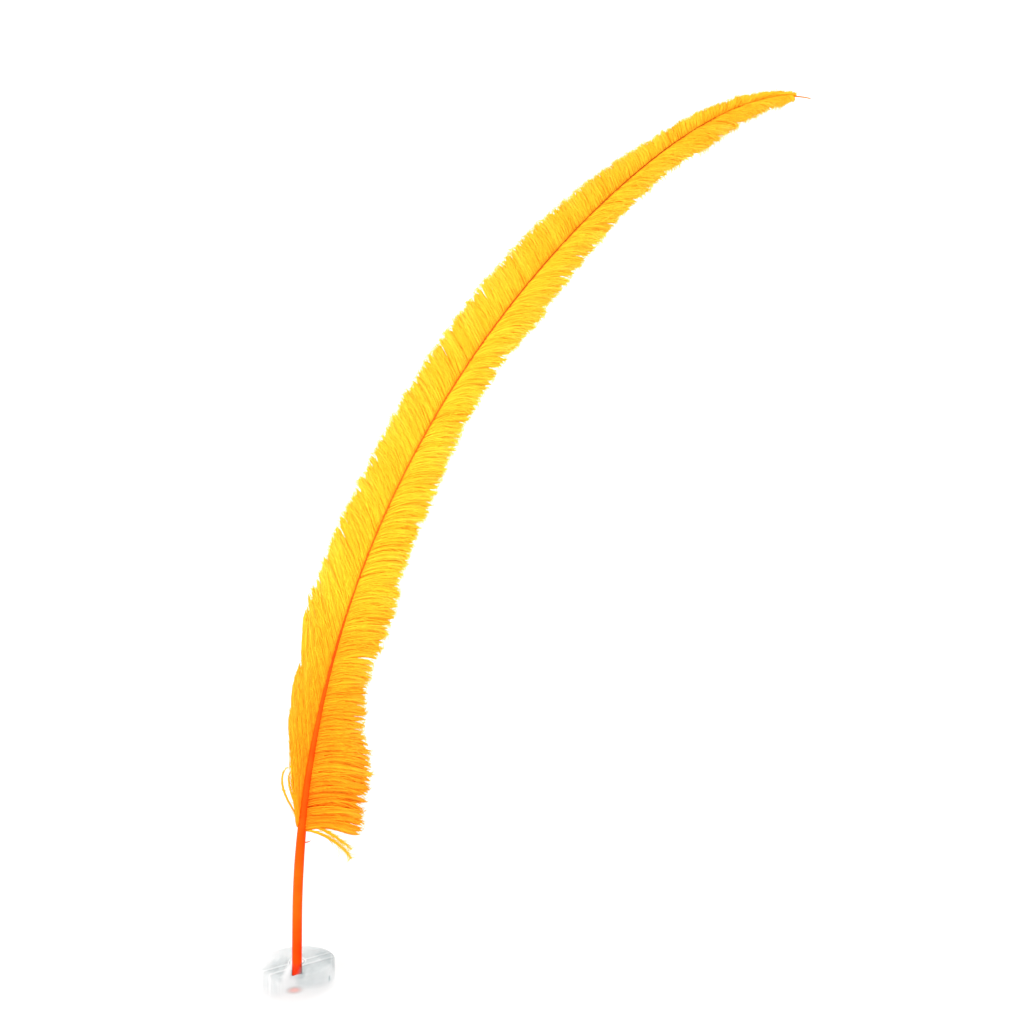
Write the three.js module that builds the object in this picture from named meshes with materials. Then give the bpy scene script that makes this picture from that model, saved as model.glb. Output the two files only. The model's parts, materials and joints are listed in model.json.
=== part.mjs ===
// A dyed ostrich plume standing upright in a small clear round foot.
//
// Millimetres, +Z up. The origin is the centre of the foot's underside. The plume lies in the XZ
// plane and bows towards +X, and its broad face looks along -Y.
//
// Everything on the plume is placed in shaft coordinates. `s` is the distance along the shaft from
// the cut end of the quill, and `out` is the distance away from it, to the right when positive.

import * as THREE from 'three';

// Foot: a clear block with a blind socket in its top.
const footRadius = 22.5;
const footHeight = 14.5;
const footBevel = 0.8;
const socketFloor = 5.0;
const footSides = 56;

// Sleeve: a soft tube between the socket and the quill.
const sleeveWall = 1.5;
const fitGap = 0.3;
const sleeveSides = 32;

// Shaft line: it leaves the foot upright, leans back a little, bows over and droops at the tip.
const shaftLength = 657.5;
const quillFoot = socketFloor + 1.0;
const straightAboveFoot = 3.5;
const uprightLength = footHeight - quillFoot + straightAboveFoot;
const leanLength = 25;
const backLean = THREE.MathUtils.degToRad(1.6);
const bow = THREE.MathUtils.degToRad(61);
const tipDroop = THREE.MathUtils.degToRad(44);
const droopPower = 17;
const shaftSteps = 1200;

// Shaft radius, as [share of the shaft's length, radius].
const quillRadius = 2.9;
const shaftTaper = [
  [0, quillRadius],
  [0.1, quillRadius],
  [0.16, 2.45],
  [0.22, 2.0],
  [0.29, 1.4],
  [0.42, 1.15],
  [0.6, 0.95],
  [0.8, 0.75],
  [0.97, 0.45],
  [1, 0.2],
];
const shaftSides = 12;
const ringPitch = 12;

// Barrel: the hollow part of the quill, with a slanted cut at its foot.
const barrelShare = 0.13;
const barrelLength = barrelShare * shaftLength;
const barrelWall = 0.6;
const cutSlope = 0.45;
const cutBand = 3;

// Vane: the reach of each side, as [share of the shaft's length, left reach, right reach].
const vaneReach = [
  [0.12, 3, 36],
  [0.17, 15, 36.5],
  [0.21, 15, 34],
  [0.24, 16.5, 27],
  [0.29, 19, 24],
  [0.34, 25, 27.5],
  [0.39, 24, 23],
  [0.47, 24, 22],
  [0.54, 22, 18.5],
  [0.61, 21, 18.5],
  [0.66, 21, 21],
  [0.73, 18.5, 18],
  [0.8, 15, 13.5],
  [0.85, 11.5, 11],
  [0.89, 10, 13],
  [0.93, 7, 9.5],
  [0.97, 2.7, 5],
  [1, 0.8, 0.8],
];
const vaneThickness = 0.5;
const vaneGap = 0.3;
const lockDip = 0.08;
const edgePoints = 5;
const rootPoints = 4;

// Barbs keep a nearly constant heading: up on the left, level on the right.
const leftHeading = THREE.MathUtils.degToRad(113);
const rightHeading = THREE.MathUtils.degToRad(3);
const steepestBarb = THREE.MathUtils.degToRad(95);
const flattestLeftBarb = THREE.MathUtils.degToRad(20);
const flattestRightBarb = THREE.MathUtils.degToRad(34);
const settleRounds = 12;

// Stages: the shaft and its vane from one flex station to the next, as the share of the shaft's
// length where the stage ends. Its lower joint bends by `bend` degrees each way in the plume's
// plane, or sways out of it where `bend` is 0.
const leftVaneStart = barrelShare - 0.012;
const rightVaneStart = barrelShare - 0.002;
const stages = [
  { name: 'base', to: 0.3, locks: 4, bend: 0 },
  { name: 'lower', to: 0.43, locks: 3, bend: 5 },
  { name: 'middle', to: 0.585, locks: 3, bend: 0 },
  { name: 'upper', to: 0.72, locks: 3, bend: 7 },
  { name: 'crown', to: 0.84, locks: 2, bend: 0 },
  { name: 'tip', to: 0.975, locks: 3, bend: 9 },
];
const bendMargin = 0.6;
const jointGap = 0.8;

// Strays: single barbs that have come away at the top of the barrel and pass in front of the locks.
// Their points are [distance from the shaft's surface, height above the barrel's top, y].
const strayRadius = 0.45;
const straySides = 6;
const straySteps = 5;
const strays = [
  {
    name: 'stray_left_long',
    side: -1,
    points: [[1, 9.5, -1.3], [6.5, 17.5, -1.9], [11, 25, -2.2], [12.8, 32.5, -2.1], [9.8, 39.5, -1.7]],
  },
  {
    name: 'stray_left_middle',
    side: -1,
    points: [[1, 12.5, -1.3], [4.8, 21, -2.3], [8.2, 29.5, -2.6], [8.6, 36.5, -2.4]],
  },
  {
    name: 'stray_left_short',
    side: -1,
    points: [[1, 16.5, -1.3], [3.4, 22.5, -1.8], [4.8, 28, -1.9]],
  },
  {
    name: 'stray_right_upper',
    side: 1,
    points: [[1, 5.5, -1.4], [9.3, 4, -2], [19.3, -0.5, -2.2], [27.8, -6.5, -1.9]],
  },
  {
    name: 'stray_right_lower',
    side: 1,
    points: [[1, 1.5, -1.4], [10.3, 0.5, -1.7], [20.8, -5, -1.9], [28.8, -13.5, -1.6]],
  },
];

// Stub: what is left of a barb that broke off.
const stubBelowVane = 5.5;
const stubLength = 5;
const stubRadius = 0.5;
const stubTipRadius = 0.15;
const stubSides = 8;

const finishes = {
  clearGlass: { color: 0xdfe3e8, roughness: 0.08, opacity: 0.35, transparent: true },
  clearSilicone: { color: 0xeef0f2, roughness: 0.35, opacity: 0.5, transparent: true },
  quill: { color: 0xff5a10, roughness: 0.35 },
  shaft: { color: 0xf08018, roughness: 0.4 },
  leftBarbs: { color: 0xfdd835, roughness: 0.85 },
  rightBarbs: { color: 0xfcc82c, roughness: 0.85 },
  strayBarbs: { color: 0xffb03a, roughness: 0.8 },
};

// The shaft line, worked out once by walking along it in short steps.
function shaftAngle(s) {
  const t = THREE.MathUtils.clamp((s - uprightLength) / (shaftLength - uprightLength), 0, 1);
  const lean = backLean * THREE.MathUtils.smoothstep(s, uprightLength, uprightLength + leanLength);
  return Math.PI / 2 + lean - bow * t - tipDroop * t ** droopPower;
}

const shaftLine = [new THREE.Vector2(0, quillFoot)];
const stepLength = shaftLength / shaftSteps;
for (let step = 0; step < shaftSteps; step += 1) {
  const angle = shaftAngle((step + 0.5) * stepLength);
  const last = shaftLine[step];
  const move = new THREE.Vector2(Math.cos(angle), Math.sin(angle)).multiplyScalar(stepLength);
  shaftLine.push(last.clone().add(move));
}

// The point at `s` on the shaft line, `out` to its right, as (x, z).
function beside(s, out) {
  const place = THREE.MathUtils.clamp(s / stepLength, 0, shaftSteps - 1e-6);
  const step = Math.floor(place);
  const centre = shaftLine[step].clone().lerp(shaftLine[step + 1], place - step);
  const angle = shaftAngle(s);
  return centre.add(new THREE.Vector2(Math.sin(angle), -Math.cos(angle)).multiplyScalar(out));
}

// Straight-line value of column `column` of a table whose first column rises.
function lookUp(table, key, column) {
  let row = 1;
  while (row < table.length - 1 && table[row][0] < key) {
    row += 1;
  }
  const [low, high] = [table[row - 1], table[row]];
  const share = THREE.MathUtils.clamp((key - low[0]) / (high[0] - low[0]), 0, 1);
  return THREE.MathUtils.lerp(low[column], high[column], share);
}

function shaftRadius(s) {
  return lookUp(shaftTaper, s / shaftLength, 1);
}

// How far the vane reaches from the shaft at `s`.
function vaneEdge(side, s) {
  return lookUp(vaneReach, s / shaftLength, side < 0 ? 1 : 2);
}

function makeMesh(name, geometry, finish) {
  const mesh = new THREE.Mesh(geometry, new THREE.MeshStandardMaterial(finish));
  mesh.name = name;
  return mesh;
}

// A profile of [radius, height] pairs turned about +Z.
function turned(profile, sides) {
  const points = profile.map(([radius, height]) => new THREE.Vector2(radius, height));
  const geometry = new THREE.LatheGeometry(points, sides);
  geometry.rotateX(Math.PI / 2);
  return geometry;
}

// Carries a piece that was made straight, with Z as `s` and X as `out`, onto the shaft line.
function bendOntoShaft(geometry) {
  const position = geometry.getAttribute('position');
  for (let index = 0; index < position.count; index += 1) {
    const placed = beside(position.getZ(index), position.getX(index));
    position.setXYZ(index, placed.x, position.getY(index), placed.y);
  }
  return geometry;
}

// Foot and sleeve.
const socketRadius = quillRadius + fitGap + sleeveWall + fitGap;

function makeFoot() {
  const mouth = socketRadius + footBevel / 2;
  const profile = [
    [0, 0],
    [footRadius - footBevel, 0],
    [footRadius, footBevel],
    [footRadius, footHeight - footBevel],
    [footRadius - footBevel, footHeight],
    [mouth, footHeight],
    [socketRadius, footHeight - footBevel / 2],
    [socketRadius, socketFloor],
    [0, socketFloor],
  ];
  return makeMesh('foot_block', turned(profile, footSides), finishes.clearGlass);
}

function makeSleeve() {
  const inner = quillRadius + fitGap;
  const outer = inner + sleeveWall;
  const low = socketFloor + fitGap;
  const high = footHeight - fitGap;
  const profile = [[inner, low], [outer, low], [outer, high], [inner, high], [inner, low]];
  return makeMesh('socket_sleeve', turned(profile, sleeveSides), finishes.clearSilicone);
}

// Heights at which a stretch of the shaft gets a ring of points.
function ringHeights(from, to) {
  const count = Math.max(2, Math.ceil((to - from) / ringPitch));
  return Array.from({ length: count + 1 }, (_, ring) => from + ((to - from) * ring) / count);
}

// The hollow barrel. Its lowest rings are sheared, which gives the slanted cut.
function makeBarrel() {
  const heights = ringHeights(0, barrelLength);
  const outside = heights.map((s) => [shaftRadius(s), s]);
  const inside = heights.map((s) => [shaftRadius(s) - barrelWall, s]).reverse();
  const geometry = turned([...outside, ...inside, outside[0]], shaftSides);
  const position = geometry.getAttribute('position');
  for (let index = 0; index < position.count; index += 1) {
    if (position.getZ(index) < cutBand) {
      const lift = cutSlope * (position.getX(index) + quillRadius);
      position.setZ(index, position.getZ(index) + lift);
    }
  }
  return makeMesh('quill_barrel', bendOntoShaft(geometry), finishes.quill);
}

// A solid stretch of the tapering shaft.
function makeShaft(name, from, to) {
  const rings = ringHeights(from, to).map((s) => [shaftRadius(s), s]);
  const geometry = turned([[0, from], ...rings, [0, to]], shaftSides);
  return makeMesh(name, bendOntoShaft(geometry), finishes.shaft);
}

// Angle between the shaft and a barb that is rooted at `s`.
function barbAngle(side, s) {
  if (side < 0) {
    return THREE.MathUtils.clamp(leftHeading - shaftAngle(s), flattestLeftBarb, steepestBarb);
  }
  return THREE.MathUtils.clamp(shaftAngle(s) - rightHeading, flattestRightBarb, steepestBarb);
}

// Where along the shaft the barb that is rooted at `s` reaches the vane's outer edge. The edge isn't
// straight, so the place is found by going out and back until it settles.
function barbEnd(side, s) {
  const slope = 1 / Math.tan(barbAngle(side, s));
  let end = s;
  for (let round = 0; round < settleRounds; round += 1) {
    end = Math.min(s + vaneEdge(side, end) * slope, shaftLength);
  }
  return end;
}

// The boundary between two locks as a root and a tip in (x, z). Away from the neighbour, it is moved
// by `shift` along the vane and turned by `turn` about the shaft's centre.
function boundary(side, s, turn, shift) {
  const place = s + shift / Math.sin(barbAngle(side, s));
  const end = barbEnd(side, place);
  const hinge = beside(s, 0);
  const root = beside(place, side * (shaftRadius(place) + vaneGap));
  const tip = beside(end, side * vaneEdge(side, end) * (1 - lockDip));
  return {
    root: root.rotateAround(hinge, side * turn),
    tip: tip.rotateAround(hinge, side * turn),
    place,
    end,
  };
}

// One lock: a thin plate between two boundaries, the shaft and the vane's outer edge.
function makeLock(name, side, from, to) {
  const low = boundary(side, from.s, from.turn, from.shift);
  const high = boundary(side, to.s, -to.turn, -to.shift);
  const edge = [];
  for (let index = 1; index < edgePoints; index += 1) {
    const share = index / edgePoints;
    const s = THREE.MathUtils.lerp(low.end, high.end, share);
    const crest = 1 - lockDip * (1 - Math.sin(Math.PI * share));
    const envelope = beside(s, side * vaneEdge(side, s) * crest);
    const chord = low.tip.clone().lerp(high.tip, share);
    edge.push(envelope.lerp(chord, (2 * share - 1) ** 2));
  }
  const foot = [];
  for (let index = rootPoints - 1; index > 0; index -= 1) {
    const s = THREE.MathUtils.lerp(low.place, high.place, index / rootPoints);
    foot.push(beside(s, side * (shaftRadius(s) + vaneGap)));
  }
  const outline = [low.root, low.tip, ...edge, high.tip, high.root, ...foot];
  const geometry = new THREE.ExtrudeGeometry(new THREE.Shape(outline), {
    depth: vaneThickness,
    bevelEnabled: false,
  });
  geometry.rotateX(Math.PI / 2);
  geometry.translate(0, vaneThickness / 2, 0);
  return makeMesh(name, geometry, side < 0 ? finishes.leftBarbs : finishes.rightBarbs);
}

// The locks of one stage on one side, numbered from `first`. The boundaries at a bending joint lean
// apart by half of the joint's range each, so that the locks only meet at its limit.
function makeLocks(side, stage, first) {
  const start = stage.from || (side < 0 ? leftVaneStart : rightVaneStart);
  const boundaryAt = (count) => {
    const s = THREE.MathUtils.lerp(start, stage.to, count / stage.locks) * shaftLength;
    if (count > 0 && count < stage.locks) {
      return { s, turn: 0, shift: vaneGap / 2 };
    }
    const bend = count === 0 ? stage.bend : stage.bendAbove;
    const turn = bend > 0 ? THREE.MathUtils.degToRad(bend / 2 + bendMargin) : 0;
    return { s, turn, shift: jointGap / 2 };
  };
  return Array.from({ length: stage.locks }, (_, index) => {
    const number = String(first + index).padStart(2, '0');
    const name = `${side < 0 ? 'left' : 'right'}_lock_${number}`;
    return makeLock(name, side, boundaryAt(index), boundaryAt(index + 1));
  });
}

// A stray barb along a smooth curve through its points.
function makeStray(stray) {
  const points = stray.points.map(([clear, height, y]) => {
    const s = barrelLength + height;
    const place = beside(s, stray.side * (shaftRadius(s) + clear));
    return new THREE.Vector3(place.x, y, place.y);
  });
  const section = new THREE.Shape().absarc(0, 0, strayRadius, 0, Math.PI * 2);
  const geometry = new THREE.ExtrudeGeometry(section, {
    steps: straySteps * (points.length - 1),
    curveSegments: straySides,
    extrudePath: new THREE.CatmullRomCurve3(points),
    bevelEnabled: false,
  });
  return makeMesh(stray.name, geometry, finishes.strayBarbs);
}

function makeStub() {
  const geometry = new THREE.CylinderGeometry(stubTipRadius, stubRadius, stubLength, stubSides);
  geometry.rotateZ(-Math.PI / 2);
  const place = barrelLength - stubBelowVane;
  geometry.translate(shaftRadius(place) + fitGap + stubLength / 2, 0, place);
  return makeMesh('barb_stub', bendOntoShaft(geometry), finishes.quill);
}

// Assembly.
const plume = new THREE.Group();
plume.add(makeFoot(), makeSleeve(), makeBarrel(), makeStub());
plume.add(...strays.map(makeStray));

let nextLock = 1;
stages.forEach((stage, index) => {
  const below = stages[index - 1];
  const above = stages[index + 1];
  const whole = { ...stage, from: below ? below.to : 0, bendAbove: above ? above.bend : 0 };
  const shaftFrom = below ? below.to * shaftLength + jointGap : barrelLength + fitGap;
  const shaftTo = above ? stage.to * shaftLength - jointGap : shaftLength;
  plume.add(makeShaft(`shaft_${stage.name}`, shaftFrom, shaftTo));
  plume.add(...makeLocks(-1, whole, nextLock), ...makeLocks(1, whole, nextLock));
  nextLock += stage.locks;
});

export default plume;
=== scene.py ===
"""A dyed ostrich plume standing in a clear glass foot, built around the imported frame.

Metres, +Z up. The plume lies near the XZ plane, bows towards +X and shows its face to -Y. A place
on it is given by `s`, the distance along the shaft from the cut end of the quill, and by a side:
-1 for the left vane and +1 for the right one.
"""

import json
import math

import bpy
import numpy as np
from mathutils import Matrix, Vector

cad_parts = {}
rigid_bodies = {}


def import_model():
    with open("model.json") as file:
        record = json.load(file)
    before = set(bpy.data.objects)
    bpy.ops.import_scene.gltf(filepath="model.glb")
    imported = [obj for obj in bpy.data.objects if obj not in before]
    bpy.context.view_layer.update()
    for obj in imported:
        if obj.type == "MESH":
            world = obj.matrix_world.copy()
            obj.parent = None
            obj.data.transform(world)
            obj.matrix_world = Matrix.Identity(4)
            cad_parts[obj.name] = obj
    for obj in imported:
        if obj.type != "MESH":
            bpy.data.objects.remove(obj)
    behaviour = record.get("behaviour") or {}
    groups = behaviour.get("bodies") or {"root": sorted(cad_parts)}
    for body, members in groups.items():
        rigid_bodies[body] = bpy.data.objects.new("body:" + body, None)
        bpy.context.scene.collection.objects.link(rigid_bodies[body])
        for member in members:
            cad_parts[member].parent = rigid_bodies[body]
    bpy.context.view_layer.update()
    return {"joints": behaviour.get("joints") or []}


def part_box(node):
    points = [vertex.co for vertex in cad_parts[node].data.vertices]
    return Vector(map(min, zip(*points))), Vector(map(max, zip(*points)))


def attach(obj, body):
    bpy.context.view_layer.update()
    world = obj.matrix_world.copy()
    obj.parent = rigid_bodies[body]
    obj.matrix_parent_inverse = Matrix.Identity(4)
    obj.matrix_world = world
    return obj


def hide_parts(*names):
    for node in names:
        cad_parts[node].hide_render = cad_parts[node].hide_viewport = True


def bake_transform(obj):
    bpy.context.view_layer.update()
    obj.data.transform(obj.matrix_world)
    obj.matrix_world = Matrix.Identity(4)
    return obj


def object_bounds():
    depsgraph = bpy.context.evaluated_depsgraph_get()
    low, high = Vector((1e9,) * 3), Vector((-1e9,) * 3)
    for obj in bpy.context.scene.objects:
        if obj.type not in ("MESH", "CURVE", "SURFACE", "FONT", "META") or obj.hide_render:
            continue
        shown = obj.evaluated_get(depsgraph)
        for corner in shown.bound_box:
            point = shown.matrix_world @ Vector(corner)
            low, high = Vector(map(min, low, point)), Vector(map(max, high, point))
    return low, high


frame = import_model()

bl_info = {
    "name": "Plume in a foot",
    "version": (1, 0, 0),
    "blender": (4, 5, 0),
    "location": "View3D > Sidebar > Plume",
    "description": "Builds a dyed ostrich plume, its glass foot and a plain studio",
    "category": "Add Mesh",
}

MM = 0.001
LEFT, RIGHT = -1, 1

FOOT_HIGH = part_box("foot_block")[1]
SLEEVE_LOW, SLEEVE_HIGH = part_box("socket_sleeve")
BARREL_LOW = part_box("quill_barrel")[0]
FOOT_TO_TOP = float(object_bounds()[1][2])
JOINTS = {joint["name"]: joint for joint in frame["joints"]}
FLEX_JOINTS = ["lower_bow", "middle_sway", "upper_bow", "crown_sway", "tip_bow"]

FIT_GAP = 0.3 * MM
SLEEVE_WALL = 1.5 * MM
BARREL_WALL = 0.6 * MM

# How far a closing face stands back from the edge of its piece, so that shading stays flat there.
EDGE = 0.03 * MM

# Where the barrel ends, as a share of the shaft's length.
BARREL_SHARE = 0.13

# Rise of the barrel's slanted cut from left to right, as a share of its width.
CUT_SLOPE = 0.45

# Half of the stretch of shaft about one flex joint, and how far beyond it a lock still counts as
# near the joint.
BEND_HALF = 38 * MM
BEND_BEYOND = 6 * MM

# Shaft radius in millimetres, as (share of the shaft's length, radius).
SHAFT_TAPER = [
    (0, 2.9), (0.1, 2.9), (0.16, 2.45), (0.22, 2.0), (0.29, 1.4), (0.42, 1.15), (0.6, 0.95),
    (0.8, 0.75), (0.97, 0.5), (1, 0.34),
]

# Reach of the vane in millimetres, as (share of the shaft's length, left, right).
VANE_REACH = [
    (0.12, 1, 36), (0.14, 2.5, 37), (0.17, 6.5, 37.5), (0.19, 10, 38.5), (0.21, 14, 36.5),
    (0.235, 16.5, 28.5), (0.255, 17.5, 27), (0.27, 18, 25.5), (0.29, 17.5, 24.5),
    (0.31, 19.5, 26.5), (0.34, 23.5, 29), (0.39, 23.5, 24), (0.47, 22.5, 22.5), (0.54, 23, 18.5),
    (0.61, 22.5, 17.2), (0.66, 22, 19.5), (0.73, 19.5, 16.5), (0.8, 14.5, 13), (0.85, 10.5, 11.5),
    (0.89, 8.5, 13.5), (0.93, 6, 10), (0.95, 4.8, 7.5), (0.97, 3.5, 6), (0.985, 1.5, 2.5),
    (1, 0.2, 0.2),
]

# Headings of the barbs in degrees above +X, as (share of the shaft's length, left chord, left root,
# right root, right chord). A chord runs from a barb's root to its tip.
BARB_HEADING = [
    (0.12, 99, 97, 12, -7), (0.15, 99, 97, 16, -4), (0.2, 99, 97, 17, -2), (0.3, 108, 101, 22, 2),
    (0.38, 115, 105, 27, 4), (0.45, 119, 108, 31, 7), (0.6, 122, 111, 31, 8),
    (0.75, 122, 112, 24, 6), (0.87, 114, 106, 12, 0), (0.92, 80, 75, 6, -4),
    (0.96, 35, 32, 0, -10), (1, 15, 12, 0, -14),
]

# The locks of one body, as (body, where they begin and end as shares of the shaft's length, locks on
# each side).
STAGES = [
    ("quill", 0.134, 0.3, 4),
    ("lower_plume", 0.3, 0.43, 3),
    ("middle_plume", 0.43, 0.585, 3),
    ("upper_plume", 0.585, 0.72, 3),
    ("crown", 0.72, 0.84, 2),
    ("plume_tip", 0.84, 0.984, 3),
]

# Single barbs that came away, as points of (distance from the shaft's surface, height above the
# barrel's top, y) in millimetres.
STRAYS = {
    "stray_left_long": (
        LEFT,
        [(-0.2, 8, -0.8), (6.5, 17.5, -1.9), (11, 25, -2.2), (12.8, 32.5, -2.1), (10.2, 38.5, -1.7)],
    ),
    "stray_left_middle": (
        LEFT, [(-0.2, 11, -0.8), (4.8, 21, -2.3), (8.2, 29.5, -2.6), (8.6, 35.5, -2.4)],
    ),
    "stray_left_short": (LEFT, [(-0.2, 15, -0.8), (3.4, 22.5, -1.8), (4.8, 27, -1.9)]),
    "stray_right_upper": (
        RIGHT, [(-0.2, 4.5, -0.8), (9.3, 4, -2), (19.3, -0.5, -2.2), (27.8, -6.5, -1.9)],
    ),
    "stray_right_lower": (
        RIGHT, [(-0.2, 2, -0.8), (10.3, 0.5, -1.7), (20.8, -5, -1.9), (28, -12.5, -1.6)],
    ),
}

# The strays of each side, as (width, fringing barbules, tone).
STRAY_LOOKS = {LEFT: (1.6 * MM, 9, 0.6), RIGHT: (2.0 * MM, 19, 0.95)}

BLACK = (0.0, 0.0, 0.0, 1.0)


def linear(red, green, blue):
    """A colour given as it looks on screen, from 0 to 255, in the linear values that shaders use."""
    screen = np.array([red, green, blue]) / 255
    low = screen / 12.92
    high = ((screen + 0.055) / 1.055) ** 2.4
    return (*np.where(screen <= 0.04045, low, high).tolist(), 1.0)


# ------------ properties


def amount(name, description, default, **kind):
    """A setting that is a number."""
    return bpy.props.FloatProperty(name=name, description=description, default=default, **kind)


def metres(name, description, default):
    """A setting that is a length."""
    return amount(name, description, default, unit="LENGTH")


def degrees(name, description, default):
    """A setting that is an angle."""
    return amount(name, description, math.radians(default), subtype="ANGLE")


def factor(name, description, default):
    """A setting from 0 to 1."""
    return amount(name, description, default, subtype="FACTOR")


def whole(name, description, default):
    """A setting that is a whole number."""
    return bpy.props.IntProperty(name=name, description=description, default=default)


def paint(name, description, *screen):
    """A setting that is a colour, given as it looks on screen."""
    return bpy.props.FloatVectorProperty(
        name=name, description=description, default=linear(*screen), size=4, subtype="COLOR"
    )


class PlumeShaft(bpy.types.PropertyGroup):
    """The line that the shaft follows."""

    length: metres("Shaft length", "From the cut end of the quill to the tip", 0.6575)
    upright: metres("Upright length", "How much of the quill stands plumb in the foot", 0.012)
    lean_length: metres("Lean length", "The stretch in which the shaft takes up its lean", 0.025)
    lean: degrees("Back lean", "How far the shaft leans back above the foot", 1.6)
    bow: degrees("Bow", "How far the shaft turns over along its length", 61)
    droop: degrees("Tip droop", "How much more it turns close to the tip", 44)
    droop_power: amount("Droop power", "How close to the tip the droop is held", 17)
    flatness: factor("Shaft flatness", "Depth of the upper shaft as a share of its width", 0.8)


class PlumeVane(bpy.types.PropertyGroup):
    """The barbs."""

    barb_pitch: metres("Barb pitch", "Distance between two barbs along the shaft", 0.00042)
    fluff_per_barb: whole("Barbules per barb", "Fine hairs that leave each barb", 12)
    barb_width: metres("Barb width", "Width of a barb at its root", 0.0005)
    web_width: metres("Web width", "Width of a barb that short barbules fringe all along", 0.0029)
    fluff_width: metres("Barbule width", "Width of a barbule at its root", 0.0003)
    fluff_length: metres("Barbule length", "Mean length of a barbule", 0.0075)
    clump_pitch: metres("Clump pitch", "Mean width of a clump of barbs along the shaft", 0.0042)
    tooth_pitch: metres("Tooth pitch", "Distance between the steps in the vane's edge", 0.0115)
    clumping: factor("Clumping", "How far barbs draw together towards their tips", 0.2)
    seed: whole("Seed", "Start of the random draws", 7)


class PlumeColours(bpy.types.PropertyGroup):
    """The single colours. The dye's stops stand in DYE and SHAFT_DYE."""

    pale_tips: paint("Pale tips", "What the barbs fade to at their tips", 255, 240, 150)
    # The keratin's dark and pale colours carry painted shade and painted light, besides grain and
    # mottle.
    keratin_grain_and_painted_shade: paint("Dark keratin", "The shaft's shaded side and grain", 205, 36, 0)
    keratin_mottle_and_painted_light: paint("Pale keratin", "The shaft's lit side and mottle", 255, 140, 10)
    # Painted reflection: the quill's colour glowing in the foot's floor below it.
    quill_reflection_in_foot: paint("Glow in the foot", "The quill's colour in the foot's floor", 255, 134, 112)


class PlumeStudio(bpy.types.PropertyGroup):
    """The camera and the room."""

    distance: metres("Camera distance", "From the plume's plane", 0.64)
    width: metres("Frame width", "Width of the picture at the plume", 0.6144)
    aim_x: metres("Aim, across", "What the camera looks at", 0.129)
    aim_z: metres("Aim, up", "What the camera looks at", 0.2838)


class PlumeSettings(bpy.types.PropertyGroup):
    """All settings of the plume."""

    shaft: bpy.props.PointerProperty(type=PlumeShaft)
    vane: bpy.props.PointerProperty(type=PlumeVane)
    colours: bpy.props.PointerProperty(type=PlumeColours)
    studio: bpy.props.PointerProperty(type=PlumeStudio)


def settings():
    """The plume's settings in the open scene."""
    return bpy.context.scene.plume


# ------------ shader maths


class Wire:
    """A shader socket that takes part in Python arithmetic. Each operation adds one Math node."""

    def __init__(self, shader, socket):
        self.shader = shader
        self.socket = socket

    def _math(self, operation, first, second):
        return self.shader.node("ShaderNodeMath", {"operation": operation}, {0: first, 1: second})

    def __add__(self, other):
        return self._math("ADD", self, other)

    __radd__ = __add__

    def __sub__(self, other):
        return self._math("SUBTRACT", self, other)

    def __rsub__(self, other):
        return self._math("SUBTRACT", other, self)

    def __mul__(self, other):
        return self._math("MULTIPLY", self, other)

    __rmul__ = __mul__

    def __pow__(self, other):
        return self._math("POWER", self, other)


class Shader:
    """A material. One method, `node`, makes all its nodes."""

    def __init__(self, name):
        self.material = bpy.data.materials.new(name)
        self.material.use_nodes = True
        self.tree = self.material.node_tree
        self.tree.nodes.clear()

    def node(self, kind, options=None, sockets=None, output=0):
        """Adds a node: `options` are set first, then each socket gets a value or a wire."""
        made = self.tree.nodes.new(kind)
        for option, value in (options or {}).items():
            if option == "stops":
                self._stops(made.color_ramp, value)
            else:
                setattr(made, option, value)
        for socket, value in (sockets or {}).items():
            if isinstance(value, Wire):
                self.tree.links.new(value.socket, made.inputs[socket])
            else:
                made.inputs[socket].default_value = value
        return Wire(self, made.outputs[output]) if len(made.outputs) else made

    def _stops(self, ramp, stops):
        while len(ramp.elements) < len(stops):
            ramp.elements.new(1.0)
        for element, (place, colour) in zip(ramp.elements, stops):
            element.position = place
            element.color = colour

    def place(self):
        """The point on the piece."""
        return self.node("ShaderNodeTexCoord", output="Object")

    def axis(self, point, name):
        """A point's X, Y or Z."""
        return self.node("ShaderNodeSeparateXYZ", None, {0: point}, output=name)

    def distance(self, point, centre=(0, 0, 0), stretch=(1, 1, 1)):
        """The length of a point's way from a centre, with each axis stretched first."""
        moved = [-part * factor for part, factor in zip(centre, stretch)]
        placed = self.node(
            "ShaderNodeMapping", None, {"Vector": point, "Location": moved, "Scale": stretch}
        )
        return self.node("ShaderNodeVectorMath", {"operation": "LENGTH"}, {0: placed}, output="Value")

    def mix(self, factor, first, second):
        """Two colours mixed by a factor."""
        return self.node(
            "ShaderNodeMix", {"data_type": "RGBA"}, {0: factor, 6: first, 7: second}, output=2
        )

    def ramp(self, factor, stops):
        """A colour by factor, from stops of (factor, colour)."""
        return self.node("ShaderNodeValToRGB", {"stops": stops}, {0: factor})

    def curve(self, factor, stops):
        """A number by factor, straight between stops of (factor, number)."""
        return self.ramp(factor, [(at, (value, value, value, 1)) for at, value in stops])

    def attribute(self, name):
        """A number stored on the mesh."""
        return self.node("ShaderNodeAttribute", {"attribute_name": name}, output="Fac")

    def noise(self, vector, scale, detail=2.0, stretch=(1, 1, 1)):
        """Soft noise from 0 to 1, with each axis stretched first."""
        placed = self.node("ShaderNodeMapping", None, {"Vector": vector, "Scale": stretch})
        return self.node(
            "ShaderNodeTexNoise", None, {"Vector": placed, "Scale": scale, "Detail": detail}
        )

    def surface(self, **sockets):
        """The Principled shader and the output, by socket name with _ for a space."""
        named = {name.replace("_", " "): value for name, value in sockets.items()}
        principled = self.node("ShaderNodeBsdfPrincipled", None, named)
        self.node("ShaderNodeOutputMaterial", None, {0: principled})
        return self.material


# ------------ the shaft line


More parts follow.
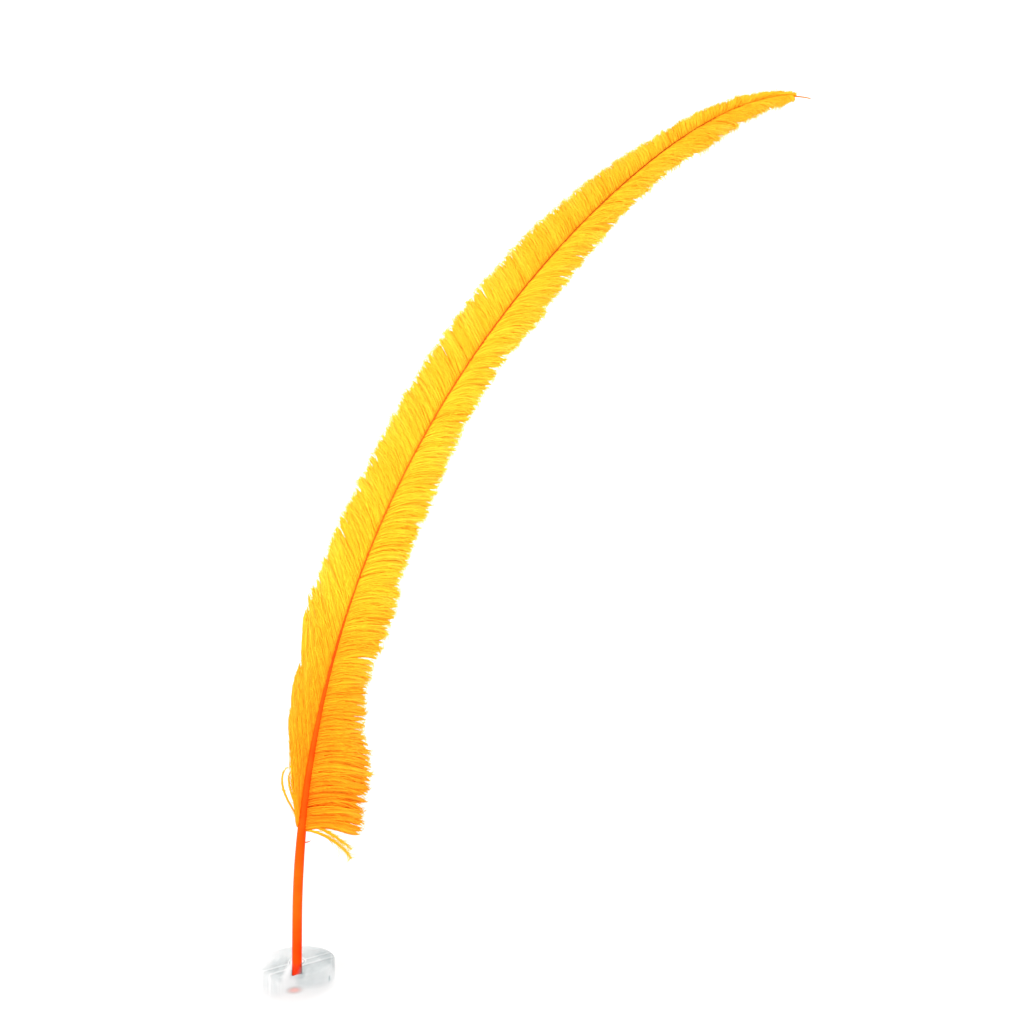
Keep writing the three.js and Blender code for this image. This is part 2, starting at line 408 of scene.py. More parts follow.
def table(rows, share, column):
    """Straight-line value of a column of a table whose first column rises."""
    grid = np.array(rows, float)
    return np.interp(share, grid[:, 0], grid[:, column])


class ShaftLine:
    """The shaft's centre line. Its direction is upright, plus a lean that eases in, minus a bow that
    grows evenly, minus a droop that grows as a high power of the place along it."""

    STEPS = 4000

    def __init__(self, shape):
        self.shape = shape
        self.s = np.linspace(0, shape.length, self.STEPS + 1)
        middle = (self.s[1:] + self.s[:-1]) / 2
        step = shape.length / self.STEPS
        angle = self.angle(middle)
        foot = BARREL_LOW.z
        self.x = np.concatenate([[0], np.cumsum(np.cos(angle) * step)])
        self.z = foot + np.concatenate([[0], np.cumsum(np.sin(angle) * step)])
        for name in FLEX_JOINTS:
            place = np.array(JOINTS[name]["pos_m"])
            if np.min(np.hypot(self.x - place[0], self.z - place[2])) > 0.5 * MM:
                raise RuntimeError(f"the shaft line misses the joint {name}")

    def angle(self, s):
        shape = self.shape
        t = np.clip((s - shape.upright) / (shape.length - shape.upright), 0, 1)
        ease = np.clip((s - shape.upright) / shape.lean_length, 0, 1)
        ease = ease * ease * (3 - 2 * ease)
        return math.pi / 2 + shape.lean * ease - shape.bow * t - shape.droop * t**shape.droop_power

    def centre(self, s):
        """Points on the line, as an array of (x, y, z)."""
        x = np.interp(s, self.s, self.x)
        return np.stack([x, np.zeros_like(x), np.interp(s, self.s, self.z)], -1)

    def across(self, s):
        """Unit vectors to the right of the line."""
        angle = self.angle(s)
        return np.stack([np.sin(angle), np.zeros_like(angle), -np.cos(angle)], -1)

    def radius(self, s):
        return table(SHAFT_TAPER, s / self.shape.length, 1) * MM

    def reach(self, side, s):
        return table(VANE_REACH, s / self.shape.length, 1 if side == LEFT else 2) * MM

    def beside(self, s, out):
        return self.centre(s) + self.across(s) * np.asarray(out)[..., None]

    def place_of(self, joint):
        """The place along the line that is nearest to a joint."""
        x, _, z = JOINTS[joint]["pos_m"]
        return float(self.s[np.argmin(np.hypot(self.x - x, self.z - z))])


# ------------ meshes


def make_object(name, points, faces, material, uv=None, values=None):
    """A mesh object from whole arrays. `faces` is a list of arrays, each with a row of corners per
    face. `uv` has a row per corner, and `values` is a number per point by name."""
    mesh = bpy.data.meshes.new(name)
    points = np.asarray(points, np.float32).reshape(-1, 3)
    loops = np.concatenate([part.ravel() for part in faces]).astype(np.int32)
    sizes = np.concatenate([np.full(len(part), part.shape[1], np.int32) for part in faces])
    mesh.vertices.add(len(points))
    mesh.vertices.foreach_set("co", points.ravel())
    mesh.loops.add(len(loops))
    mesh.loops.foreach_set("vertex_index", loops)
    mesh.polygons.add(len(sizes))
    mesh.polygons.foreach_set("loop_start", np.concatenate([[0], np.cumsum(sizes)[:-1]]))
    mesh.polygons.foreach_set("loop_total", sizes)
    mesh.polygons.foreach_set("use_smooth", np.ones(len(sizes), bool))
    mesh.update(calc_edges=True)
    if uv is not None:
        layer = mesh.uv_layers.new(name="OFBake")
        layer.data.foreach_set("uv", np.asarray(uv, np.float32).ravel())
    for key, row in (values or {}).items():
        attribute = mesh.attributes.new(key, "FLOAT", "POINT")
        attribute.data.foreach_set("value", np.asarray(row, np.float32).ravel())
    mesh.materials.append(material)
    made = bpy.data.objects.new(name, mesh)
    bpy.context.scene.collection.objects.link(made)
    return made


def grid_faces(rows, columns):
    """Corners of the faces of a grid that closes on itself along its columns, row by row."""
    row = np.arange(rows - 1)[:, None] * columns
    column = np.arange(columns)[None, :]
    after = (column + 1) % columns
    corners = [row + column, row + after, row + columns + after, row + columns + column]
    return np.stack(corners, -1).reshape(-1, 4)


def looped_faces(count, sides):
    """Corners of the faces of a grid that closes on itself in both directions, as a tube's wall."""
    return grid_faces(count + 1, sides) % (count * sides)


def turned(profile, sides):
    """A profile of (radius, height) turned about Z: x is r cos a, y is r sin a, z is the height."""
    radius, height = np.array(profile, float).T[..., None]
    angle = np.arange(sides) * 2 * math.pi / sides
    return np.stack([radius * np.cos(angle), radius * np.sin(angle), height + 0 * angle], -1)


def rounded(profile, radius, steps=5):
    """Replaces the inner corners of an open outline by quadratic curves of `steps` points, which begin
    and end a radius away from the corner, or less where a side is short."""
    corners = np.array(profile, float)
    result = [corners[0]]
    for before, corner, after in zip(corners[:-2], corners[1:-1], corners[2:]):
        back, ahead = before - corner, after - corner
        back_size, ahead_size = np.linalg.norm(back), np.linalg.norm(ahead)
        reach = min(radius, back_size * 0.45, ahead_size * 0.45)
        start, end = corner + back / back_size * reach, corner + ahead / ahead_size * reach
        t = np.linspace(0, 1, steps)[:, None]
        result.extend((1 - t) ** 2 * start + 2 * t * (1 - t) * corner + t**2 * end)
    result.append(corners[-1])
    return np.array(result)


# ------------ strands


def strand_frame(paths):
    """For each point of each path: a unit vector across it in the vane's plane, and one in depth."""
    along = np.gradient(paths, axis=1)
    along /= np.linalg.norm(along, axis=2, keepdims=True)
    depth = np.broadcast_to(np.array([0.0, 1.0, 0.0]), along.shape)
    across = np.cross(along, depth)
    across /= np.linalg.norm(across, axis=2, keepdims=True)
    return across, np.cross(across, along)


def strand_mesh(paths, widths, tones, strips, strip_count, flat=0.55, full=2.0, along=None):
    """Closed three-sided hairs along paths, an array of (strand, point, 3). A hair's section is a
    triangle that is `widths` wide and a share `flat` of that deep. It swells a little past its root
    and thins as 1 - u^full to its tip. Its UV strip is `strips` of `strip_count`."""
    count, points, _ = paths.shape
    u = np.linspace(0, 1, points)
    taper = (0.75 + 0.5 * u) * (1 - u ** np.reshape(full, (-1, 1))) * 0.94 + 0.06
    across, depth = strand_frame(paths)
    half = widths[:, None] * taper / 2
    thick = half * np.reshape(flat, (-1, 1))
    corner = np.radians([90, 210, 330])
    ring = (
        across[:, :, None, :] * np.cos(corner)[:, None] * half[:, :, None, None]
        + depth[:, :, None, :] * np.sin(corner)[:, None] * thick[:, :, None, None]
    )
    vertices = (paths[:, :, None, :] + ring).reshape(-1, 3)
    first = (np.arange(count) * points * 3)[:, None]
    quads = (grid_faces(points, 3) + first[:, None]).reshape(-1, 4)
    root = first + np.array([2, 1, 0])
    tip = first + (points - 1) * 3 + np.array([0, 1, 2])
    faces = [quads, root, tip]

    low = strips / strip_count
    height = 0.9 / strip_count
    segment_u = np.stack([u[:-1], u[:-1], u[1:], u[1:]], -1)
    quad_u = np.broadcast_to(segment_u[None, :, None, :], (count, points - 1, 3, 4))
    quad_v = low[:, None, None, None] + height * np.array([0, 1, 1, 0])
    quad_v = np.broadcast_to(quad_v, quad_u.shape)
    cap = np.array([[0, 0], [0.01, 0], [0, 1]])
    root_uv = np.stack([np.broadcast_to(cap[:, 0], (count, 3)), low[:, None] + height * cap[:, 1]], -1)
    tip_uv = root_uv * [-1, 1] + [1, 0]
    uv = np.concatenate(
        [np.stack([quad_u, quad_v], -1).reshape(-1, 2), root_uv.reshape(-1, 2), tip_uv.reshape(-1, 2)]
    )
    along = u[None] if along is None else along
    along = np.broadcast_to(along[:, :, None], (count, points, 3)).ravel()
    return vertices, faces, uv, along, np.repeat(tones, points * 3)


def join_strands(*parts):
    """Several strand meshes as one."""
    starts = np.cumsum([0] + [len(part[0]) for part in parts])
    faces = [face + start for part, start in zip(parts, starts) for face in part[1]]
    points, uv, along, tone = (np.concatenate([part[k] for part in parts]) for k in (0, 2, 3, 4))
    return {"points": points, "faces": faces, "uv": uv, "values": {"along": along, "tone": tone}}


def sample(paths, rows, place):
    """Points at share `place` of path number `rows`, straight between its given points."""
    last = paths.shape[1] - 1
    spot = np.clip(place, 0, 1) * last
    low = np.minimum(spot.astype(int), last - 1)
    share = (spot - low)[..., None]
    rows = np.broadcast_to(rows, place.shape)
    return paths[rows, low] * (1 - share) + paths[rows, low + 1] * share


# Strips of the vane's UV map, and points along a barb and a barbule.
STRIPS = 48
BARB_POINTS = 11
FLUFF_POINTS = 6

# Ripple of the barbs' headings along the shaft, as two waves. A wave's length is 2 pi times these.
RIPPLE_LONG, RIPPLE_SHORT = 3.4 * MM, 1.9 * MM

# Share of the barbs that leave the shaft on its front, and how far a barb arches forward and falls
# back.
FROM_FRONT = 0.75
ARCH, FALL = 2.2 * MM, 1.4 * MM

# How far barbules drift across and in depth per length, and how much of their way past a barb's end
# they keep.
DRIFT_ACROSS, DRIFT_DEEP, PAST_END = 0.27, 0.16, 0.2

# Barbs shorter than this are narrower in proportion, and webs stand this far behind the others.
FULL_LENGTH = 9 * MM
WEB_BACK = 0.6 * MM


def barb_paths(line, vane, side, start, stop, random):
    """The barbs of one lock. A barb is a quadratic curve from the shaft's side, along the root's
    heading, to the vane's edge on the chord's heading, which ripples along the shaft. Past its middle
    it is drawn towards its clump's tip as the square of the rest, and it waves slowly across. In depth
    it rises as a half sine and falls evenly. The edge itself rises and falls in teeth."""
    count = max(8, int((stop - start) / vane.barb_pitch))
    s = start + (stop - start) * (np.arange(count) + random.uniform(0, 1, count)) / count
    share = s / line.shape.length
    columns = (1, 2) if side == LEFT else (4, 3)
    ripple = np.sin(s / RIPPLE_LONG) + 0.7 * np.sin(s / RIPPLE_SHORT + side)
    ripple = ripple * (np.interp(share, [0.24, 0.4], [1.9, 2.0]) if side == RIGHT else 1.5)
    chord = np.radians(table(BARB_HEADING, share, columns[0]) + ripple + random.normal(0, 2.5, count))
    leave = np.radians(table(BARB_HEADING, share, columns[1]) + random.normal(0, 3, count))

    # Roots stand out from the shaft's middle by this share of its radius, on its front or its back.
    over = np.interp(share, [0.2, 0.36], [0.85, 0.45])
    root = line.beside(s, side * line.radius(s) * over)
    from_shaft = (chord - line.angle(s)) if side == LEFT else (line.angle(s) - chord)
    slope = 1 / np.tan(np.clip(from_shaft, math.radians(13), math.radians(100)))
    # A barb ends further along the shaft than it begins, by a distance that its reach there sets.
    end = s
    for _ in range(12):
        end = np.minimum(s + line.reach(side, end) * slope, line.shape.length)

    clump = np.floor((s - start) / vane.clump_pitch + random.uniform(-0.35, 0.35, count))
    clump = (clump - clump.min()).astype(int)
    clumps = clump.max() + 1
    clump_reach = random.uniform(0.96, 1.02, clumps)
    clump_tone = random.uniform(0, 1, clumps)
    clump_depth = random.normal(0, 0.6, clumps) * MM
    clump_pull = vane.clumping * random.uniform(0, 1, clumps) ** 2 * 2
    tooth = (s / vane.tooth_pitch + 0.35 * np.sin(s / (1.7 * vane.tooth_pitch))) % 1
    step = np.interp(share, [0.27, 0.36], [0.2, 0.08]) if side == LEFT else 0.08
    reach = line.reach(side, end) * clump_reach[clump] * (1 + step * (tooth - 0.55))
    fray = np.interp(share, [0.25, 0.4], [0.12, 0.08])
    reach = reach * (1 - fray * random.uniform(0, 1, count) ** 2)
    tip = line.beside(end, side * reach)
    members = np.maximum(np.bincount(clump), 1)
    centre = np.stack([np.bincount(clump, tip[:, axis]) / members for axis in range(3)], -1)

    size = np.linalg.norm(tip - root, axis=1)
    heading = np.stack([np.cos(leave), np.zeros(count), np.sin(leave)], -1)
    control = root + heading * (size * 0.5)[:, None]
    u = np.linspace(0, 1, BARB_POINTS)[None, :, None]
    paths = (1 - u) ** 2 * root[:, None] + 2 * u * (1 - u) * control[:, None] + u**2 * tip[:, None]
    pull = np.minimum(clump_pull, 0.85)[clump][:, None, None] * np.clip((u - 0.5) / 0.5, 0, 1) ** 2
    paths = paths + (centre[clump] - tip)[:, None] * pull

    across, _ = strand_frame(paths)
    phase = random.uniform(0, 2 * math.pi, clumps)[clump] + random.normal(0, 0.5, count)
    wave = np.sin(u[..., 0] * random.uniform(3, 6, count)[:, None] + phase[:, None]) * u[..., 0]
    curl = random.uniform(0.3, 0.95, count) * np.interp(share, [0.26, 0.36], [1.6, 1.0]) * MM
    paths = paths + across * (wave * curl[:, None])[..., None]
    depth = random.normal(0, 0.55, count)[:, None] * MM + clump_depth[clump][:, None]
    bow = ARCH * np.sin(math.pi * u[..., 0] * 0.8) - FALL * u[..., 0]
    front = np.where(random.uniform(0, 1, count) < FROM_FRONT, -1.15 * np.sqrt(1 - over**2), 0.6)
    paths[..., 1] += depth * u[..., 0] - bow + (front * line.radius(s))[:, None]
    tones = 0.55 * clump_tone[clump] + 0.45 * random.uniform(0, 1, count)
    strips = np.floor((s - start) / (stop - start) * STRIPS * 0.999).astype(int) % STRIPS
    return paths, tones, strips


def fluff_paths(vane, paths, tones, strips, random, shorter=1.0):
    """The barbules. Each one starts on a barb, follows it for a while and drifts away from it, across
    and in depth, as the power 1.4 of the distance. Past the barb's end it runs on a fifth as far."""
    count = len(paths) * vane.fluff_per_barb
    row = np.repeat(np.arange(len(paths)), vane.fluff_per_barb)
    length = np.linalg.norm(np.diff(paths, axis=1), axis=2).sum(1)[row]
    begin = random.uniform(0, 0.97, count) ** 0.85
    span = np.minimum(vane.fluff_length * shorter / length, 0.5) * random.uniform(0.5, 1.4, count)
    t = np.linspace(0, 1, FLUFF_POINTS)[None]
    place = begin[:, None] + span[:, None] * t
    points = sample(paths, row[:, None], place)
    across, depth = strand_frame(paths)
    side = sample(across, row[:, None], place)
    deep = sample(depth, row[:, None], place)
    past = np.maximum(place - 1, 0) * length[:, None]
    last = paths[:, -1] - paths[:, -2]
    last /= np.linalg.norm(last, axis=1, keepdims=True)
    points = points + last[row][:, None] * (past * PAST_END)[..., None]
    drift = random.normal(0, 1, count) * span * length
    rise = random.normal(0, 1, count) * span * length
    free = np.minimum(0.35 + 1.3 * begin, 1)
    points = points + side * ((drift * free * DRIFT_ACROSS)[:, None] * t**1.4)[..., None]
    points = points + deep * ((rise * free * DRIFT_DEEP)[:, None] * t**1.4)[..., None]
    tone = np.clip(tones[row] + random.normal(0, 0.16, count), 0, 1)
    return points, tone, strips[row], np.minimum(place, 1)


# ------------ materials


# The dye at some heights of the plume: (share of the height, deep colour, bright colour).
DYE = [
    (0.18, (250, 108, 8), (252, 172, 26)),
    (0.32, (250, 122, 10), (252, 180, 28)),
    (0.45, (248, 166, 20), (250, 200, 44)),
    (0.62, (248, 168, 22), (250, 200, 46)),
    (0.82, (248, 158, 18), (250, 194, 44)),
    (1.0, (246, 146, 14), (250, 182, 38)),
]


def barb_material(name):
    """Dyed barbs: the colour follows the height of the plume, deeper on low tones and near the
    shaft, paler towards the tips, with fine bands along each hair. A weak glow stands for the light
    that passes through them."""
    shader = Shader(name)
    place = shader.place()
    share = shader.axis(place, "Z") * (1 / FOOT_TO_TOP)
    deep = shader.ramp(share, [(at, linear(*low)) for at, low, _ in DYE])
    bright = shader.ramp(share, [(at, linear(*high)) for at, _, high in DYE])
    pale = shader.mix(0.5, bright, settings().colours.pale_tips)
    tone = shader.attribute("tone")
    along = shader.attribute("along")
    bands = shader.noise(place, 260.0, 2.0)
    strength = tone * 0.55 + bands * 0.35 + along * 0.3 - 0.06
    colour = shader.mix(strength, deep, bright)
    colour = shader.mix((along**5) * (tone**2) * 0.35, colour, pale)
    return shader.surface(
        Base_Color=colour, Roughness=bands * 0.2 + 0.6, Specular_IOR_Level=0.08,
        Emission_Color=colour, Emission_Strength=0.2,
    )


# The dye along the shaft: (share of the shaft's length, colour).
SHAFT_DYE = [
    (0.0, (236, 18, 0)), (0.035, (240, 50, 0)), (0.06, (244, 80, 6)), (0.12, (238, 58, 0)),
    (0.3, (214, 56, 0)), (0.37, (204, 78, 0)), (0.45, (200, 92, 0)), (0.6, (160, 66, 0)),
    (0.72, (122, 46, 0)), (0.86, (104, 40, 0)), (0.95, (150, 74, 0)), (1.0, (205, 112, 4)),
]


def keratin_material(name):
    """Dyed keratin: red-orange low down, lighter and then darker upwards, with fine grain along it
    and a soft gloss. Painted light lies on its left side and painted shade on its right."""
    shader = Shader(name)
    along = shader.attribute("along")
    around = shader.attribute("around")
    body = shader.ramp(along, [(at, linear(*colour)) for at, colour in SHAFT_DYE])
    grain_place = shader.node("ShaderNodeCombineXYZ", None, {0: around * 9.0, 1: along * 12.0})
    grain = shader.noise(grain_place, 3.0, 4.0)
    mottle_place = shader.node("ShaderNodeCombineXYZ", None, {0: around, 1: along * 60.0})
    mottle = shader.noise(mottle_place, 1.0, 3.0)
    colours = settings().colours
    dark = shader.mix(0.4, body, colours.keratin_grain_and_painted_shade)
    pale = shader.mix(0.35, body, colours.keratin_mottle_and_painted_light)
    # Painted light and shade around the shaft: lighter on its left, darker on its right and front.
    lit = shader.curve(around, [(0.0, 0.0), (0.3, 0.7), (0.55, 1.0), (0.85, 0.0)])
    colour = shader.mix(grain * 1.6 - 0.35, dark, body)
    colour = shader.mix(lit * 0.8 + 0.1, shader.mix(0.5, colour, dark), shader.mix(0.25, colour, pale))
    colour = shader.mix((mottle**2) * 0.8, colour, pale)
    bump = shader.node("ShaderNodeBump", None, {"Strength": 0.25, "Distance": 0.0003, "Height": grain})
    return shader.surface(
        Base_Color=colour, Roughness=grain * 0.25 + 0.3, Normal=bump, Specular_IOR_Level=0.04,
    )


# Painted reflections, soft slanted lights and darks across the foot's top: (share of the way over
# it, grey, veil).
REFLECTION_STRIPES = [
    (0.08, 0.2, 0.4), (0.2, 0.17, 0.52), (0.27, 0.16, 0.56), (0.3, 0.1, 0.66), (0.335, 0.2, 0.2),
    (0.37, 0.17, 0.52), (0.435, 0.15, 0.58), (0.45, 0.08, 0.7), (0.475, 0.2, 0.16),
    (0.51, 0.15, 0.58), (0.75, 0.18, 0.28), (0.92, 0.16, 0.25),
]


# How far the painted reflection stripes are turned about Z.
REFLECTION_TURN = math.radians(37.6)


def glass_material():
    """Clear cast glass as a thin tinted veil: pale grey on top and fading out towards the rim, with
    painted reflections as soft slanted lights and darks across it, streaks down its wall, a short dark
    tick of painted shade on the right, a clear lane in front of the quill, and a painted reflection
    below the quill: a glow where the bottom face gives its colour back."""
    shader = Shader("foot_glass")
    place = shader.place()
    x, y, z = (shader.axis(place, name) for name in "XYZ")
    across, up = x * (1 / FOOT_HIGH.x), z * (1 / FOOT_HIGH.z)
    marks = shader.noise(place, 300.0, 3.0, (1, 0.4, 1))
    streaks = shader.noise(place, 500.0, 2.0, (1, 1, 0.08))

    # Painted reflections: slanted stripes, each with its own grey and its own veil.
    slanted = shader.node(
        "ShaderNodeMapping", None, {"Vector": place, "Rotation": (0, 0, -REFLECTION_TURN)}
    )
    share = shader.axis(slanted, "Y") * (0.5 / FOOT_HIGH.x) + 0.5
    reflection_greys = [(at, (grey * 0.75, grey * 1.1, grey * 1.15, 1)) for at, grey, _ in REFLECTION_STRIPES]
    tint = shader.ramp(share, reflection_greys)
    reflection_veil = shader.curve(share, [(at, veil) for at, _, veil in REFLECTION_STRIPES])

    # The veil is full between the socket and the rim, and fades out on the left.
    radius = shader.distance(place, stretch=(1, 1, 0)) * (1 / FOOT_HIGH.x)
    inside = shader.curve(radius, [(0.222, 0), (0.24, 1), (0.84, 1), (1.0, 0.6)])
    inside = inside * shader.curve(across + 1.0, [(0.0, 0.1), (0.4, 1)])

    # The top is fuller than the streaked wall, and reaches lower on the right.
    wall = shader.curve(x * 60.0 + 0.5, [(0.35, 0.48), (0.62, 0.05)])
    wall = wall * shader.curve(up, [(0.03, 0), (0.5, 1)])
    top = shader.curve(up + across * 0.38, [(0.6, 0), (0.82, 1)])
    height = top + (1 - top) * wall * (streaks * 3.8 - 1.1)

    # Painted shade: a short dark tick stands on the right of the wall, where the light comes round.
    shade_tick = shader.curve(across, [(0.9, 0), (0.93, 1), (0.95, 0)])
    shade_tick = shade_tick * shader.curve(up, [(0.36, 0), (0.5, 1), (0.6, 1), (0.68, 0)])
    shade_tick = shade_tick * shader.curve(y * (1 / FOOT_HIGH.y) + 1.0, [(0.7, 1), (0.8, 0)])

    lane = shader.curve((x * 100.0) ** 2, [(0.08, 1), (0.3, 0)])
    lane = lane * shader.curve(y * 40.0 + 0.5, [(0.6, 1), (0.75, 0)])
    # Painted reflection: below the quill its colour glows in the foot's floor, where the bottom face
    # gives it back.
    glow = shader.curve(shader.distance(place, (0, -7 * MM, 0)) * 100.0, [(0.15, 1), (0.6, 0)])
    veil = reflection_veil * inside * height * (marks * 0.8 + 0.6) * (1 - lane * 0.99) * (1 - glow)
    veil = (veil + glow * 0.36) * (1 - shade_tick) + shade_tick * 0.7
    return shader.surface(
        Base_Color=shader.mix(glow, tint, BLACK), Roughness=marks * 0.08 + 0.06, IOR=1.49,
        Alpha=veil, Emission_Color=shader.mix(glow, BLACK, settings().colours.quill_reflection_in_foot),
        Emission_Strength=1.0,
    )


def silicone_material():
    """Clear soft rubber: milky on its top, clear down its wall and in front of the quill."""
    shader = Shader("sleeve_silicone")
    place = shader.place()
    x, y, z = (shader.axis(place, name) for name in "XYZ")
    haze = shader.noise(place, 900.0, 2.0)
    tint = shader.mix(haze, linear(104, 116, 120), linear(124, 134, 138))
    top = shader.curve(z * (1 / SLEEVE_HIGH.z), [(0.95, 0), (0.985, 1)])
    radius = shader.distance(place, stretch=(1, 1, 0)) * (1 / SLEEVE_HIGH.x)
    rim = shader.curve(radius, [(0.72, 0), (0.95, 1)])
    lane = shader.curve((x * 100.0) ** 2, [(0.08, 1), (0.14, 0)])
    lane = lane * shader.curve(y * 100.0 + 0.5, [(0.4, 1), (0.5, 0)])
    veil = top * rim * (1 - lane) * (haze * 0.2 + 0.4) + 0.01
    return shader.surface(Base_Color=tint, Roughness=haze * 0.15 + 0.3, IOR=1.41, Alpha=veil)


def floor_material():
    """Matt paper, light grey about the foot and white further off."""
    shader = Shader("studio_floor")
    place = shader.place()
    near = shader.mix(shader.noise(place, 1.5, 1.0), linear(204, 204, 204), linear(208, 208, 208))
    far = shader.curve(shader.distance(place) * 0.5, [(0.05, 0), (0.7, 1)])
    return shader.surface(Base_Color=shader.mix(far, near, linear(250, 250, 250)), Roughness=0.7)


# ------------ operators


class PLUME_OT_stage(bpy.types.Operator):
    """Adds the floor with its curved back, the lights and the camera"""

    bl_idname = "plume.stage"
    bl_label = "Studio"

    def execute(self, context):
        studio = settings().studio
        self.add_floor()

        world = bpy.data.worlds.new("studio_world")
        world.use_nodes = True
        background = world.node_tree.nodes["Background"]
        background.inputs["Color"].default_value = (1.0, 1.0, 1.0, 1.0)
        background.inputs["Strength"].default_value = 1.15
        context.scene.world = world
        context.scene.view_settings.view_transform = "Standard"

        aim = (studio.aim_x, 0.0, studio.aim_z)
        self.add_light("key", (-0.9, -1.7, 0.9), aim, 1.2, 42)
        self.add_light("fill", (1.4, -1.5, 0.7), aim, 1.6, 22)
        self.add_light("back", (0.4, 1.0, 1.5), aim, 1.2, 9)

        camera = bpy.data.cameras.new("camera")
        camera.sensor_width = 36
        camera.lens = camera.sensor_width * studio.distance / studio.width
        camera.clip_start = 0.01
        holder = bpy.data.objects.new("camera", camera)
        holder.location = (studio.aim_x, -studio.distance, studio.aim_z)
        holder.rotation_euler = (math.pi / 2, 0, 0)
        context.scene.collection.objects.link(holder)
        context.scene.camera = holder
        return {"FINISHED"}

    def add_floor(self):
        """A strip of paper: flat, then a quarter circle up at the back, then a wall."""
        front, back, bend, top, half = -3.0, 1.6, 0.9, 3.6, 4.0
        turn = np.linspace(0, math.pi / 2, 24)
        curve = np.stack([back + bend * np.sin(turn), bend * (1 - np.cos(turn))], -1)
        outline = np.concatenate([[[front, 0.0]], curve, [[back + bend, top]]])
        points = np.empty((len(outline), 2, 3))
        points[..., 0] = [-half, half]
        points[..., 1:] = outline[:, None]
        row = np.arange(len(outline) - 1) * 2
        faces = np.stack([row, row + 1, row + 3, row + 2], -1)
        make_object("studio_floor", points, [faces], floor_material())

    def add_light(self, name, place, aim, size, power):
        light = bpy.data.lights.new(name, "AREA")
        light.size = size
        light.energy = power
        holder = bpy.data.objects.new(name, light)
        holder.location = place
        along = np.array(aim) - np.array(place)
        holder.rotation_euler = (
            math.atan2(math.hypot(along[0], along[1]), -along[2]),
            0,
            math.atan2(along[1], along[0]) - math.pi / 2,
        )
        bpy.context.scene.collection.objects.link(holder)


def settle(made, body, slot, *nodes):
    """Puts a piece on its body, in place of its nodes, which it hides. A piece that lies across a
    flex joint is given no body. Its slot is not used."""
    if body:
        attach(made, body)
    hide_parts(*nodes)


class PLUME_OT_foot(bpy.types.Operator):
    """Builds the clear foot with its blind socket"""

    bl_idname = "plume.foot"
    bl_label = "Foot"

    SIDES = 128
    BEVEL = 0.9 * MM
    CLEAR = 0.02 * MM

    def execute(self, context):
        radius, height = FOOT_HIGH.x, FOOT_HIGH.z
        wall, floor = SLEEVE_HIGH.x + FIT_GAP, SLEEVE_LOW.z - FIT_GAP
        # From beside the axis, a little clear of the ground, round to the socket's floor.
        outline = [
            (self.CLEAR, self.CLEAR), (radius, self.CLEAR), (radius, height), (wall, height),
            (wall, floor), (self.CLEAR, floor),
        ]
        rings = turned(rounded(outline, self.BEVEL, 6), self.SIDES)
        # One face closes each end, about the axis.
        first = np.arange(self.SIDES)[None]
        last = (len(rings) - 1) * self.SIDES + first
        faces = [grid_faces(len(rings), self.SIDES), first[:, ::-1], last]
        made = make_object("glass_foot", rings, faces, glass_material())
        settle(made, "foot", "clear_glass", "foot_block")
        return {"FINISHED"}


class PLUME_OT_sleeve(bpy.types.Operator):
    """Builds the soft sleeve in the foot's socket"""

    bl_idname = "plume.sleeve"
    bl_label = "Sleeve"

    SIDES = 64
    BEVEL = 0.4 * MM

    def execute(self, context):
        outer, inner = SLEEVE_HIGH.x, SLEEVE_HIGH.x - SLEEVE_WALL
        low, high = SLEEVE_LOW.z, SLEEVE_HIGH.z
        middle = (inner + outer) / 2
        outline = [
            (middle, low), (outer, low), (outer, high), (inner, high), (inner, low), (middle, low),
        ]
        rings = turned(rounded(outline, self.BEVEL, 5)[:-1], self.SIDES)
        faces = [looped_faces(len(rings), self.SIDES)]
        made = make_object("silicone_sleeve", rings, faces, silicone_material())
        settle(made, "sleeve", "clear_silicone", "socket_sleeve")
        return {"FINISHED"}


def shaft_rings(line, s, radius, sides, flat=None, slope=0.0):
    """Rings about the shaft line. A ring is an ellipse, `flat` of its width deep, with a shallow
    groove down its back. The first ring is lifted by `slope` times its distance from the left."""
    angle = np.arange(sides) * 2 * math.pi / sides
    flat = np.ones_like(s) if flat is None else flat
    groove = 1 - 0.16 * (1 - flat)[:, None] / 0.2 * np.exp(-(((angle - math.pi / 2) / 0.5) ** 2))
    out = radius[:, None] * np.cos(angle) * np.ones_like(groove)
    deep = radius[:, None] * flat[:, None] * np.sin(angle) * groove
    place = np.broadcast_to(s[:, None], out.shape).copy()
    place[0] += slope * (out[0] + radius[0])
    points = line.beside(place, out)
    points[..., 1] = deep
    return points, place, np.broadcast_to(angle / (2 * math.pi), out.shape)


def wrap_uv(count, sides):
    """UV of a grid of rings, one corner at a time: around the ring, and along the rings."""
    column = np.arange(sides)
    row = np.arange(count - 1)
    u = np.stack([column, column + 1, column + 1, column], -1) / sides
    v = np.stack([row, row, row + 1, row + 1], -1) / count
    return np.stack(np.broadcast_arrays(u[None], v[:, None]), -1).reshape(-1, 2)


def bend_at(piece, line, joint):
    """Finds the stretch of the shaft about a flex joint and applies the piece's transform to its mesh.
    It does not bend the piece.
    """
    place = line.place_of(joint)
    start, end = line.centre(np.array([place - BEND_HALF, place + BEND_HALF]))
    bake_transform(piece)


def nearest_flex(line, s):
    """The flex joint whose zone holds a place along the shaft, or None below the first zone."""
    stations = np.array([line.place_of(name) for name in FLEX_JOINTS])
    if s < stations[0] - BEND_HALF - BEND_BEYOND:
        return None
    return FLEX_JOINTS[int(np.argmin(np.abs(stations - s)))]


def keratin():
    """The one keratin that the barrel, the shaft and the stub share."""
    name = "dyed_keratin"
    return bpy.data.materials.get(name) or keratin_material(name)


